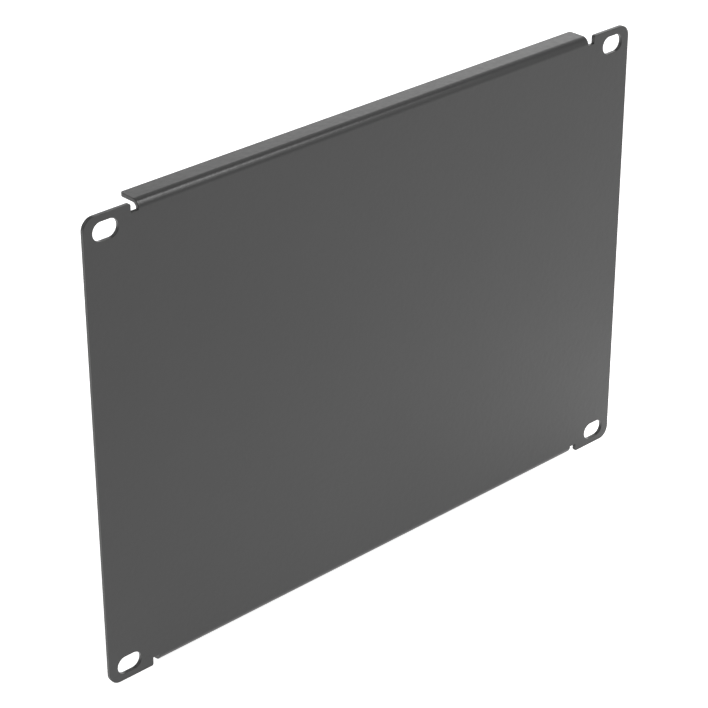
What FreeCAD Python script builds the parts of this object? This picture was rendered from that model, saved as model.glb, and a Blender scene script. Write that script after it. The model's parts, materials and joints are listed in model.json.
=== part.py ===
import FreeCAD, Part
import math
import os

# A 10-inch rack's 4U blanking panel: one sheet of steel, cut to its outline, punched with four
# fixing slots and folded back along its top and bottom edges. Millimetres throughout.
# The origin is the centre of the slot pattern on the back of the ears, the face that seats on the
# rack's rails. +X runs across the panel, +Y goes into the rack and +Z is up.

# The rack space that the panel covers, and the rail holes that it is screwed to.
rack_unit = 44.45
units_high = 4
height_play = 0.8            # the panel is this much shorter than its rack space
first_hole = 6.35            # centre of the outermost rail hole, from the end of the rack space

# The sheet.
panel_width = 254.0
sheet = 1.5
corner_radius = 4.5
rolled_edge = 0.2            # soft edge that the punch leaves around the face side

# The fixing slots, longer across the panel so that they take up the rack's tolerance.
slot_length = 10.3
slot_width = 6.8
slot_from_side = 8.7375      # centre of a slot, from the panel's side

# The two stiffening flanges, flush with the ends of the ears, and the relief cuts that part them
# from the flat ears.
flange_depth = 9.5           # from the panel's face to the flange's free edge
flange_corner_radius = 1.0
bend_radius = 1.5            # inside of the fold, as tight as the sheet is thick
ear_width = 19.0             # from the panel's side to the relief cut
ear_tip_radius = 0.8
relief_width = 3.0
relief_past_bend = 0.2

# Sizes that follow from those above.
panel_height = units_high * rack_unit - height_play
slot_spacing_across = panel_width - 2 * slot_from_side
slot_spacing_up = units_high * rack_unit - 2 * first_hole
outer_bend_radius = bend_radius + sheet
folded_length = panel_width - 2 * (ear_width + relief_width)
relief_depth = outer_bend_radius + relief_past_bend
face_y = -sheet              # the panel's face; the back of the sheet is at 0
flange_edge_y = face_y + flange_depth

TOLERANCE = 1e-6


def point(x, y, z):
    return FreeCAD.Vector(x, y, z)


def edges_across_sheet(shape):
    """The short edges that run straight through the sheet, parallel to Y."""
    found = []
    for edge in shape.Edges:
        run = edge.Vertexes[-1].Point - edge.Vertexes[0].Point
        if abs(run.x) < TOLERANCE and abs(run.z) < TOLERANCE:
            found.append(edge)
    return found


def face_plate():
    """The flat face with its two ears, cut back between the ears where the folds take over."""
    size = point(panel_width, sheet, panel_height)
    corner = point(-panel_width / 2, face_y, -panel_height / 2)
    plate = Part.makeBox(size.x, size.y, size.z, corner)
    plate = plate.makeFillet(corner_radius, edges_across_sheet(plate))

    between_ears = panel_width - 2 * ear_width
    for base_z in (panel_height / 2 - relief_depth, -panel_height / 2):
        start = point(-between_ears / 2, face_y, base_z)
        plate = plate.cut(Part.makeBox(between_ears, sheet, relief_depth, start))

    tips = []
    for edge in edges_across_sheet(plate):
        middle = edge.CenterOfMass
        at_ear_side = abs(abs(middle.x) - between_ears / 2) < TOLERANCE
        at_ear_end = abs(abs(middle.z) - panel_height / 2) < TOLERANCE
        if at_ear_side and at_ear_end:
            tips.append(edge)
    return plate.makeFillet(ear_tip_radius, tips)


def quarter_bend(centre_y, centre_z, radius, from_degrees, to_degrees):
    """One side of a fold: a quarter circle in the YZ plane, with its angles taken from +Y."""
    ends = []
    for degrees in (from_degrees, (from_degrees + to_degrees) / 2, to_degrees):
        angle = math.radians(degrees)
        y = centre_y + radius * math.cos(angle)
        z = centre_z + radius * math.sin(angle)
        ends.append(point(-folded_length / 2, y, z))
    return Part.Arc(*ends).toShape()


def folded_channel():
    """The face between the relief cuts with both flanges: one folded section, drawn along X."""
    bend_y = face_y + outer_bend_radius
    bend_z = panel_height / 2 - outer_bend_radius
    outside = [
        quarter_bend(bend_y, -bend_z, outer_bend_radius, 270, 180),
        quarter_bend(bend_y, bend_z, outer_bend_radius, 180, 90),
    ]
    inside = [
        quarter_bend(bend_y, bend_z, bend_radius, 90, 180),
        quarter_bend(bend_y, -bend_z, bend_radius, 180, 270),
    ]
    x = -folded_length / 2
    top = panel_height / 2
    lower_edge = [point(x, flange_edge_y, -top), point(x, flange_edge_y, -top + sheet)]
    upper_edge = [point(x, flange_edge_y, top), point(x, flange_edge_y, top - sheet)]

    def line(start, end):
        return Part.LineSegment(start, end).toShape()

    def start_of(arc):
        return arc.firstVertex(True).Point

    def end_of(arc):
        return arc.lastVertex(True).Point

    section = Part.Wire([
        line(lower_edge[0], start_of(outside[0])),
        outside[0],
        line(end_of(outside[0]), start_of(outside[1])),
        outside[1],
        line(end_of(outside[1]), upper_edge[0]),
        line(upper_edge[0], upper_edge[1]),
        line(upper_edge[1], start_of(inside[0])),
        inside[0],
        line(end_of(inside[0]), start_of(inside[1])),
        inside[1],
        line(end_of(inside[1]), lower_edge[1]),
        line(lower_edge[1], lower_edge[0]),
    ])
    channel = Part.Face(section).extrude(point(folded_length, 0, 0))

    flange_corners = []
    for edge in channel.Edges:
        run = edge.Vertexes[-1].Point - edge.Vertexes[0].Point
        at_free_edge = abs(edge.CenterOfMass.y - flange_edge_y) < TOLERANCE
        if at_free_edge and abs(run.x) < TOLERANCE:
            flange_corners.append(edge)
    return channel.makeFillet(flange_corner_radius, flange_corners)


def fixing_slot(x, z):
    """A round-ended slot through the sheet, centred on its rail hole."""
    end_radius = slot_width / 2
    reach = slot_length / 2 - end_radius
    slot = Part.makeBox(2 * reach, sheet, slot_width, point(x - reach, face_y, z - end_radius))
    for end_x in (x - reach, x + reach):
        end = Part.makeCylinder(end_radius, sheet, point(end_x, face_y, z), point(0, 1, 0))
        slot = slot.fuse(end)
    return slot.removeSplitter()


def is_face_side(face):
    """True for the outer skin of the folded sheet: the panel's face and what bends back from it."""
    middle = face.CenterOfMass
    if isinstance(face.Surface, Part.Cylinder):
        along_fold = abs(face.Surface.Axis.x) > 1 - TOLERANCE
        return along_fold and abs(face.Surface.Radius - outer_bend_radius) < TOLERANCE
    on_front = abs(middle.y - face_y) < TOLERANCE
    on_flange = abs(abs(middle.z) - panel_height / 2) < TOLERANCE and middle.y > 0
    return on_front or on_flange


def roll_edges(panel):
    """Rounds the whole rim of the face side, and the mouths of the slots, as punching does."""
    skin = [face for face in panel.Faces if is_face_side(face)]
    rim = []
    for edge in panel.Edges:
        sides = [face for face in skin if any(edge.isSame(other) for other in face.Edges)]
        if len(sides) == 1:
            rim.append(edge)
    return panel.makeFillet(rolled_edge, rim)


def blanking_panel():
    panel = face_plate().fuse(folded_channel()).removeSplitter()
    for x in (-slot_spacing_across / 2, slot_spacing_across / 2):
        for z in (-slot_spacing_up / 2, slot_spacing_up / 2):
            panel = panel.cut(fixing_slot(x, z))
    return roll_edges(panel)


os.makedirs("parts", exist_ok=True)
blanking_panel().exportStep("parts/blanking_panel.step")
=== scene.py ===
import json
import math

import bpy
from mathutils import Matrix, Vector


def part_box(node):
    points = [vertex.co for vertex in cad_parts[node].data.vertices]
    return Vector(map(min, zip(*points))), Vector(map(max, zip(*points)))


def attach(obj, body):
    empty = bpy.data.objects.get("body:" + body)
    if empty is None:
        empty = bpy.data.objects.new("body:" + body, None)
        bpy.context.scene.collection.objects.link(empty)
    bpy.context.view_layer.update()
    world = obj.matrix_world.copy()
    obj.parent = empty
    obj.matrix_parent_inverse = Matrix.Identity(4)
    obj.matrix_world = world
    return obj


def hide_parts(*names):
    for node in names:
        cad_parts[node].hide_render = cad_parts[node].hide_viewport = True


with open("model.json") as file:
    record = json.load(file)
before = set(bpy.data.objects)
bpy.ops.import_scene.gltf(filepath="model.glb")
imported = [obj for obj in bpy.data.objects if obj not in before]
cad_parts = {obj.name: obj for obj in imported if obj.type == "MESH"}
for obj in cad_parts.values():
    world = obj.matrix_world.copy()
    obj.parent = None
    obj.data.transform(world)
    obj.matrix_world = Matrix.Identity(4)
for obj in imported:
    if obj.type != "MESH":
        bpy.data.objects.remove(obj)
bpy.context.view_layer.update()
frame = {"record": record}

# ---------------------------------------------------------------------------
# The panel: one sheet of 1.5 mm steel, cut flat with a relief beside every ear, punched with four
# slots for the rack's screws, folded back along its top and bottom, and powder-coated. The flat
# blank's outer skin comes first, then the slots and the folds, and last the thickness behind it.
# ---------------------------------------------------------------------------
MM = 0.001
QUARTER_TURN = math.pi / 2

low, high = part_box("blanking_panel")
panel_width = high.x - low.x
panel_height = high.z - low.z
face_y = low.y                       # the face of the panel; the back of the sheet is at y = 0
sheet = -face_y
flange_depth = high.y - face_y       # from the face to the flange's free edge

corner_radius = 4.5 * MM
ear_width = 19 * MM                  # from the panel's side to the relief cut
ear_tip_radius = 0.8 * MM
relief_width = 3 * MM
relief_past_bend = 0.2 * MM
inside_bend_radius = 1.5 * MM
bend_radius = inside_bend_radius + sheet
flange_corner_radius = 1 * MM

# Places on the flat blank, with x across it and s up it along the outer skin.
bend_line = panel_height / 2 - bend_radius
bend_length = bend_radius * QUARTER_TURN
flange_end = bend_line + bend_length + flange_depth - bend_radius
ear_side = panel_width / 2 - ear_width
flange_half = ear_side - relief_width
relief_end = bend_line - relief_past_bend

# Each corner of the outlines is (x, s, radius), for the upper right quarter first.
face_corners = [
    (panel_width / 2, panel_height / 2, corner_radius),
    (ear_side, panel_height / 2, ear_tip_radius),
    (ear_side, relief_end, 0),
    (flange_half, relief_end, 0),
    (flange_half, bend_line, 0),
]
upper_flange = [
    (flange_half, bend_line + bend_length, 0),
    (flange_half, flange_end, flange_corner_radius),
    (-flange_half, flange_end, flange_corner_radius),
    (-flange_half, bend_line + bend_length, 0),
]


def mirrored(corners, across, up):
    """The same corners on another quarter of the blank, in an order that carries the outline on."""
    return [(x * across, s * up, radius) for x, s, radius in reversed(corners)]


upper_face = face_corners + mirrored(face_corners, -1, 1)
outlines = [
    upper_face + mirrored(upper_face, 1, -1),
    upper_flange,
    mirrored(upper_flange, 1, -1),
]

corners = []
sides = []
for outline in outlines:
    first = len(corners)
    corners += outline
    sides += [(first + i, first + (i + 1) % len(outline)) for i in range(len(outline))]
blank_mesh = bpy.data.meshes.new("blank_outlines")
blank_mesh.from_pydata([(x, s, 0) for x, s, radius in corners], sides, [])
rounded_by = blank_mesh.attributes.new("corner_radius", "FLOAT", "POINT")
rounded_by.data.foreach_set("value", [radius for x, s, radius in corners])
blank = bpy.data.objects.new("blank", blank_mesh)
bpy.context.scene.collection.objects.link(blank)

# The slots fit the rack's four outermost holes, so their sizes are the screw mount's.
rack_screws = next(mount for mount in frame["record"]["mounts"] if mount["name"] == "rack_screws")
slot_pattern = rack_screws["dims"]
folding_sizes = {
    "Slot Length": slot_pattern["slot_length_mm"] * MM,
    "Slot Width": slot_pattern["hole_r_mm"] * 2 * MM,
    "Slots Apart Across": slot_pattern["spacing_x_mm"] * MM,
    "Slots Apart Up": slot_pattern["spacing_y_mm"] * MM,
    "Face Y": face_y,
    "Bend Line": bend_line,
    "Bend Radius": bend_radius,
    "Flange Width": 2 * flange_half,
    "Ear Side": ear_side,
}

folding = bpy.data.node_groups.new("punch_and_fold", "GeometryNodeTree")
folding.interface.new_socket("Outlines", in_out="INPUT", socket_type="NodeSocketGeometry")
folding.interface.new_socket("Panel", in_out="OUTPUT", socket_type="NodeSocketGeometry")
socket_ids = {}
for size_name in folding_sizes:
    socket = folding.interface.new_socket(size_name, in_out="INPUT", socket_type="NodeSocketFloat")
    socket_ids[size_name] = socket.identifier
socket = folding.interface.new_socket("Coat", in_out="INPUT", socket_type="NodeSocketMaterial")
socket_ids["Coat"] = socket.identifier

steps = folding.nodes
given = steps.new("NodeGroupInput").outputs


def join(source, target):
    """Links one node's output to another node's input."""
    target.id_data.links.new(source, target)


def reckon(operation, *values):
    """A Math node on sockets and plain numbers, beside the first socket's node; gives its result."""
    first_socket = next(value for value in values if isinstance(value, bpy.types.NodeSocket))
    made = first_socket.id_data.nodes.new("ShaderNodeMath")
    made.operation = operation
    for value, socket in zip(values, made.inputs):
        if isinstance(value, bpy.types.NodeSocket):
            join(value, socket)
        else:
            socket.default_value = value
    return made.outputs["Value"]


arc_steps = 12                       # flats in a quarter turn
weld_gap = 0.01 * MM                 # points closer than this become one
clear_of_ear = 0.5 * MM              # what lies this far inside the ears belongs to the fold

# The blank's outlines get their round corners.
outline_curves = steps.new("GeometryNodeMeshToCurve")
join(given["Outlines"], outline_curves.inputs["Mesh"])
corner_radius_of = steps.new("GeometryNodeInputNamedAttribute")
corner_radius_of.inputs["Name"].default_value = "corner_radius"
cut_corners = steps.new("GeometryNodeFilletCurve")
cut_corners.mode = "POLY"
cut_corners.inputs["Count"].default_value = arc_steps
join(outline_curves.outputs["Curve"], cut_corners.inputs["Curve"])
join(corner_radius_of.outputs["Attribute"], cut_corners.inputs["Radius"])

# One slot, punched at the four corners of the rack's hole pattern.
slot_sides = steps.new("GeometryNodeCurvePrimitiveQuadrilateral")
join(given["Slot Length"], slot_sides.inputs["Width"])
join(given["Slot Width"], slot_sides.inputs["Height"])
slot = steps.new("GeometryNodeFilletCurve")
slot.mode = "POLY"
slot.inputs["Count"].default_value = arc_steps
slot.inputs["Limit Radius"].default_value = True
join(slot_sides.outputs["Curve"], slot.inputs["Curve"])
join(reckon("DIVIDE", given["Slot Width"], 2), slot.inputs["Radius"])
hole_pattern = steps.new("GeometryNodeMeshGrid")
hole_pattern.inputs["Vertices X"].default_value = 2
hole_pattern.inputs["Vertices Y"].default_value = 2
join(given["Slots Apart Across"], hole_pattern.inputs["Size X"])
join(given["Slots Apart Up"], hole_pattern.inputs["Size Y"])
slots = steps.new("GeometryNodeInstanceOnPoints")
join(hole_pattern.outputs["Mesh"], slots.inputs["Points"])
join(slot.outputs["Curve"], slots.inputs["Instance"])
slot_curves = steps.new("GeometryNodeRealizeInstances")
join(slots.outputs["Instances"], slot_curves.inputs["Geometry"])
all_cuts = steps.new("GeometryNodeJoinGeometry")
join(cut_corners.outputs["Curve"], all_cuts.inputs["Geometry"])
join(slot_curves.outputs["Geometry"], all_cuts.inputs["Geometry"])
flat_parts = steps.new("GeometryNodeFillCurve")
flat_parts.mode = "NGONS"
join(all_cuts.outputs["Geometry"], flat_parts.inputs["Curve"])

# Between the face and each flange lies the strip that the fold uses up.
length_of_bend = reckon("MULTIPLY", given["Bend Radius"], QUARTER_TURN)
strip = steps.new("GeometryNodeMeshGrid")
strip.inputs["Vertices X"].default_value = 2
strip.inputs["Vertices Y"].default_value = arc_steps + 1
join(given["Flange Width"], strip.inputs["Size X"])
join(length_of_bend, strip.inputs["Size Y"])
strip_middle = reckon("ADD", given["Bend Line"], reckon("DIVIDE", length_of_bend, 2))
whole_blank = steps.new("GeometryNodeJoinGeometry")
join(flat_parts.outputs["Mesh"], whole_blank.inputs["Geometry"])
for side in (-1, 1):
    strip_place = steps.new("ShaderNodeCombineXYZ")
    join(reckon("MULTIPLY", strip_middle, side), strip_place.inputs["Y"])
    moved_strip = steps.new("GeometryNodeTransform")
    join(strip.outputs["Mesh"], moved_strip.inputs["Geometry"])
    join(strip_place.outputs["Vector"], moved_strip.inputs["Translation"])
    join(moved_strip.outputs["Geometry"], whole_blank.inputs["Geometry"])
one_skin = steps.new("GeometryNodeMergeByDistance")
one_skin.inputs["Distance"].default_value = weld_gap
join(whole_blank.outputs["Geometry"], one_skin.inputs["Geometry"])

# The fold: past the bend line the skin runs round a quarter circle and then straight back. The
# ears are as high as the fold but stay flat.
flat_place = steps.new("ShaderNodeSeparateXYZ")
join(steps.new("GeometryNodeInputPosition").outputs["Position"], flat_place.inputs["Vector"])
across = flat_place.outputs["X"]
up = flat_place.outputs["Y"]
from_middle = reckon("ABSOLUTE", up)
fold_half = reckon("SUBTRACT", given["Ear Side"], clear_of_ear)
between_ears = reckon("LESS_THAN", reckon("ABSOLUTE", across), fold_half)
beyond = reckon("MAXIMUM", reckon("SUBTRACT", from_middle, given["Bend Line"]), 0)
past = reckon("MULTIPLY", beyond, between_ears)
turn = reckon("MINIMUM", reckon("DIVIDE", past, given["Bend Radius"]), QUARTER_TURN)
straight = reckon("MAXIMUM", reckon("SUBTRACT", past, length_of_bend), 0)
set_back = reckon("MULTIPLY", reckon("SUBTRACT", 1, reckon("COSINE", turn)), given["Bend Radius"])
rise = reckon("MULTIPLY", reckon("SINE", turn), given["Bend Radius"])
height = reckon("ADD", reckon("SUBTRACT", from_middle, past), rise)
depth = reckon("ADD", reckon("ADD", given["Face Y"], set_back), straight)
folded_place = steps.new("ShaderNodeCombineXYZ")
join(across, folded_place.inputs["X"])
join(depth, folded_place.inputs["Y"])
join(reckon("MULTIPLY", height, reckon("SIGN", up)), folded_place.inputs["Z"])
fold = steps.new("GeometryNodeSetPosition")
join(one_skin.outputs["Geometry"], fold.inputs["Geometry"])
join(folded_place.outputs["Vector"], fold.inputs["Position"])

whole_skin = steps.new("GeometryNodeRealizeInstances")
join(fold.outputs["Geometry"], whole_skin.inputs["Geometry"])
coated = steps.new("GeometryNodeSetMaterial")
join(whole_skin.outputs["Geometry"], coated.inputs["Geometry"])
join(given["Coat"], coated.inputs["Material"])
join(coated.outputs["Geometry"], steps.new("NodeGroupOutput").inputs["Panel"])

# The finish is a satin powder coat in dark grey: baked on, with the slight pebble of melted powder.
darkest_grey = (0.026, 0.026, 0.026, 1)
lightest_grey = (0.032, 0.032, 0.032, 1)
drift_share = 0.6                    # how much of the change of tone is slow drift
grain_share = 0.4                    # and how much is grain
satin = (0.29, 0.35)                 # roughness, from the smoothest spots to the dullest
grain_height = 0.1                   # against the pebble's
pebble_height = 0.045 * MM

coat = bpy.data.materials.new("powder_coat")
coat.use_nodes = True
coat_nodes = coat.node_tree.nodes
finish = coat_nodes["Principled BSDF"]
place = coat_nodes.new("ShaderNodeTexCoord").outputs["Object"]


def coat_noise(per_metre, detail, roughness):
    """A noise over the panel, by how many of its features go to a metre."""
    noise = coat_nodes.new("ShaderNodeTexNoise")
    noise.inputs["Scale"].default_value = per_metre
    noise.inputs["Detail"].default_value = detail
    noise.inputs["Roughness"].default_value = roughness
    join(place, noise.inputs["Vector"])
    return noise.outputs["Fac"]


def stretched(value, start, end, lowest, highest, shape="LINEAR"):
    """A value that runs from start to end, made to run from lowest to highest."""
    remap = value.id_data.nodes.new("ShaderNodeMapRange")
    remap.interpolation_type = shape
    remap.inputs["From Min"].default_value = start
    remap.inputs["From Max"].default_value = end
    remap.inputs["To Min"].default_value = lowest
    remap.inputs["To Max"].default_value = highest
    join(value, remap.inputs["Value"])
    return remap.outputs["Result"]


def spread(noise, lowest, highest):
    """A noise keeps to the middle of its range, so that middle is stretched over the whole run."""
    noise_floor = 0.3
    noise_ceiling = 0.7
    return stretched(noise, noise_floor, noise_ceiling, lowest, highest)


pebble = coat_noise(per_metre=500, detail=1.5, roughness=0.5)
grain = coat_noise(per_metre=5200, detail=1, roughness=0.5)
drift = coat_noise(per_metre=14, detail=2, roughness=0.5)

tone = coat_nodes.new("ShaderNodeMix")
tone.data_type = "RGBA"
tone.inputs["A"].default_value = darkest_grey
tone.inputs["B"].default_value = lightest_grey
change = reckon("ADD", spread(drift, 0, drift_share), spread(grain, 0, grain_share))
join(change, tone.inputs["Factor"])
join(tone.outputs["Result"], finish.inputs["Base Color"])
join(spread(pebble, *satin), finish.inputs["Roughness"])
finish.inputs["IOR"].default_value = 1.5

bump = coat_nodes.new("ShaderNodeBump")
bump.inputs["Strength"].default_value = 1
bump.inputs["Distance"].default_value = pebble_height
join(reckon("MULTIPLY_ADD", grain, grain_height, pebble), bump.inputs["Height"])
join(bump.outputs["Normal"], finish.inputs["Normal"])

tree = blank.modifiers.new("punch_and_fold", "NODES")
tree.node_group = folding
for size_name, size in folding_sizes.items():
    tree[socket_ids[size_name]] = size
tree[socket_ids["Coat"]] = coat

settled = bpy.context.evaluated_depsgraph_get()
panel_mesh = bpy.data.meshes.new_from_object(blank.evaluated_get(settled))
panel_mesh.name = "panel"
panel_mesh.materials.pop(index=0)      # the empty slot that the filled outlines bring along
panel_mesh.shade_smooth()
bpy.data.objects.remove(blank)

# Behind the skin comes the sheet's thickness, and punching and coating soften every sharp edge.
soft_edge = 0.2 * MM
sharp_from = math.radians(50)

panel = bpy.data.objects.new("panel", panel_mesh)
bpy.context.scene.collection.objects.link(panel)
thickness = panel.modifiers.new("sheet_thickness", "SOLIDIFY")
thickness.thickness = sheet
thickness.offset = -1
thickness.use_even_offset = True
rounding = panel.modifiers.new("soft_edges", "BEVEL")
rounding.width = soft_edge
rounding.segments = 3
rounding.limit_method = "ANGLE"
rounding.angle_limit = sharp_from
flat_shading = panel.modifiers.new("flat_faces_stay_flat", "WEIGHTED_NORMAL")
flat_shading.mode = "FACE_AREA"

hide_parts("blanking_panel")
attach(panel, "root")

# ---------------------------------------------------------------------------
# The studio: the panel stands upright on its lower edge on a pale table of opal acrylic, lit from
# below. The room is dim, with soft lights overhead and on every side but the front left, and a
# bright wall low at the right. Two lamps in soft boxes give the fold its line of light.
# ---------------------------------------------------------------------------
table_half = 6.0
table_mesh = bpy.data.meshes.new("table_top")
table_corners = [
    (-table_half, -table_half, low.z),
    (table_half, -table_half, low.z),
    (table_half, table_half, low.z),
    (-table_half, table_half, low.z),
]
table_mesh.from_pydata(table_corners, [], [(0, 1, 2, 3)])
table_top = bpy.data.objects.new("table_top", table_mesh)
bpy.context.scene.collection.objects.link(table_top)

# Painted light in the table's glow: it is dimmer in front of the panel and brighter behind it, where
# the panel's shadow falls, and a painted pool of light stands out by the panel's right end.
front_y = -0.26
front_light = 0.68
full_light = 0.9
painted_pool_centre = (0.17, -0.01, low.z)
painted_pool_reach = 0.12
painted_pool_light = 0.25

opal = bpy.data.materials.new("lit_opal_acrylic")
opal.use_nodes = True
opal_nodes = opal.node_tree.nodes
surface = opal_nodes["Principled BSDF"]
surface.inputs["Base Color"].default_value = (0.8, 0.8, 0.8, 1)
surface.inputs["Roughness"].default_value = 0.9
surface.inputs["Emission Color"].default_value = (1, 1, 1, 1)
on_table = opal_nodes.new("ShaderNodeTexCoord").outputs["Object"]
from_painted_pool = opal_nodes.new("ShaderNodeVectorMath")
from_painted_pool.operation = "DISTANCE"
from_painted_pool.inputs[1].default_value = painted_pool_centre
join(on_table, from_painted_pool.inputs[0])
# A painted pool of light on the table by the panel's right end.
painted_pool = stretched(from_painted_pool.outputs["Value"], painted_pool_reach, 0, 0, painted_pool_light, "SMOOTHSTEP")
table_way = opal_nodes.new("ShaderNodeSeparateXYZ")
join(on_table, table_way.inputs["Vector"])
# Painted light: the table's glow rises from the front to behind the panel, where the panel's shadow
# falls.
painted_glow_falloff = stretched(table_way.outputs["Y"], front_y, 0, front_light, full_light, "SMOOTHSTEP")
join(reckon("ADD", painted_pool, painted_glow_falloff), surface.inputs["Emission Strength"])
table_mesh.materials.append(opal)

room = bpy.data.worlds.new("room")
bpy.context.scene.world = room
room.use_nodes = True
room_nodes = room.node_tree.nodes
way = room_nodes.new("ShaderNodeTexCoord").outputs["Generated"]


def toward(direction, looking=way):
    """How nearly a look runs along a direction: 1 along it, less away from it."""
    made = room_nodes.new("ShaderNodeVectorMath")
    made.operation = "DOT_PRODUCT"
    made.inputs[1].default_value = Vector(direction).normalized()
    join(looking, made.inputs[0])
    return made.outputs["Value"]


# The wall is brightest 65 degrees round to the right from straight behind, and dark 50 degrees
# either side of that. It ends a third of the way up.
wall_heading = math.radians(65)
wall_full_within = math.radians(10)
wall_dark_beyond = math.radians(50)
wall_fades_from = 0.48               # how far up, from 0 for level to 1 for straight overhead
wall_ends_at = 0.58
wall_light = 1.53

level = room_nodes.new("ShaderNodeVectorMath")
level.operation = "MULTIPLY"
level.inputs[1].default_value = (1, 1, 0)      # leaves out how far a look rises or falls
join(way, level.inputs[0])
heading = room_nodes.new("ShaderNodeVectorMath")
heading.operation = "NORMALIZE"
join(level.outputs["Vector"], heading.inputs[0])
along_wall = toward((math.sin(wall_heading), math.cos(wall_heading), 0), heading.outputs["Vector"])
wall_width = stretched(
    along_wall, math.cos(wall_dark_beyond), math.cos(wall_full_within), 0, wall_light, "SMOOTHSTEP"
)
wall_height = stretched(toward((0, 0, 1)), wall_ends_at, wall_fades_from, 0, 1, "SMOOTHSTEP")
glow = reckon("MULTIPLY", wall_width, wall_height)

# The soft lights, each by the direction it comes from, how tight it is, and its strength.
soft_lights = [
    ((0, 0, 1), 14, 0.9),                      # straight overhead
    ((-0.45, 0.65, 0.57), 6, 1.3),             # wide, behind to the left
    ((0.6, 0.25, 0.76), 14, 0.6),              # high to the right
    ((0.6, -0.68, 0.42), 14, 0.9),             # in front to the right, above the panel
    ((0.6, -0.78, 0.12), 10, 0.47),            # in front to the right, low
    ((0.95, 0.2, 0.15), 8, 0.67),              # low at the right
]
for direction, tightness, strength in soft_lights:
    nearness = reckon("MULTIPLY_ADD", toward(direction), tightness, -tightness)
    glow = reckon("MULTIPLY_ADD", reckon("EXPONENT", nearness), strength, glow)

# The room is seen only in what it lights: straight on, past the table's edge, it is plain white.
plain_white = room_nodes.new("ShaderNodeMix")
plain_white.inputs["B"].default_value = 1.0
join(room_nodes.new("ShaderNodeLightPath").outputs["Is Camera Ray"], plain_white.inputs["Factor"])
join(glow, plain_white.inputs["A"])
room_light = room_nodes["Background"]
room_light.inputs["Color"].default_value = (1, 1, 1, 1)
join(plain_white.outputs["Result"], room_light.inputs["Strength"])


def softbox(name, place, aim, width, height, radiance):
    """A lamp behind a white cloth of that width and height, turned towards what it lights."""
    lamp = bpy.data.lights.new(name, "AREA")
    lamp.shape = "RECTANGLE"
    lamp.size = width
    lamp.size_y = height
    lamp.energy = radiance * math.pi * width * height
    box = bpy.data.objects.new(name, lamp)
    box.location = place
    box.rotation_euler = (Vector(aim) - Vector(place)).to_track_quat("-Z", "Y").to_euler()
    bpy.context.scene.collection.objects.link(box)


fold_left_end = (-0.125, 0, high.z)
fold_left_of_middle = (-0.05, 0, high.z)
softbox(
    "strip_high", place=(0.28, -0.30, 0.60), aim=fold_left_of_middle,
    width=0.12, height=0.25, radiance=10.6,
)
softbox(
    "strip_low", place=(0.233, -0.42, 0.427), aim=fold_left_end,
    width=0.10, height=0.20, radiance=4.0,
)

# ---------------------------------------------------------------------------
# The camera: it stands to the front left of the panel and above it, and looks through a long lens
# at a point on the sheet a little to the left of its middle. Everything is in focus.
# ---------------------------------------------------------------------------
azimuth = math.radians(-42.65)
elevation = math.radians(28.22)
roll = math.radians(-0.15)
aim = Vector((-11.28 * MM, 0, -1.22 * MM))
distance = 0.8651
sensor_width = 36                    # both in the camera's own millimetres
focal_length = 123.48

back = Vector((
    math.sin(azimuth) * math.cos(elevation),
    -math.cos(azimuth) * math.cos(elevation),
    math.sin(elevation),
))
camera = bpy.data.objects.new("camera", bpy.data.cameras.new("camera"))
camera.data.sensor_width = sensor_width
camera.data.lens = focal_length
camera.location = aim + back * distance
camera.rotation_euler = (-back).to_track_quat("-Z", "Y").to_euler()
camera.rotation_euler.rotate_axis("Z", roll)
bpy.context.scene.collection.objects.link(camera)
bpy.context.scene.camera = camera
bpy.context.scene.view_settings.view_transform = "Standard"
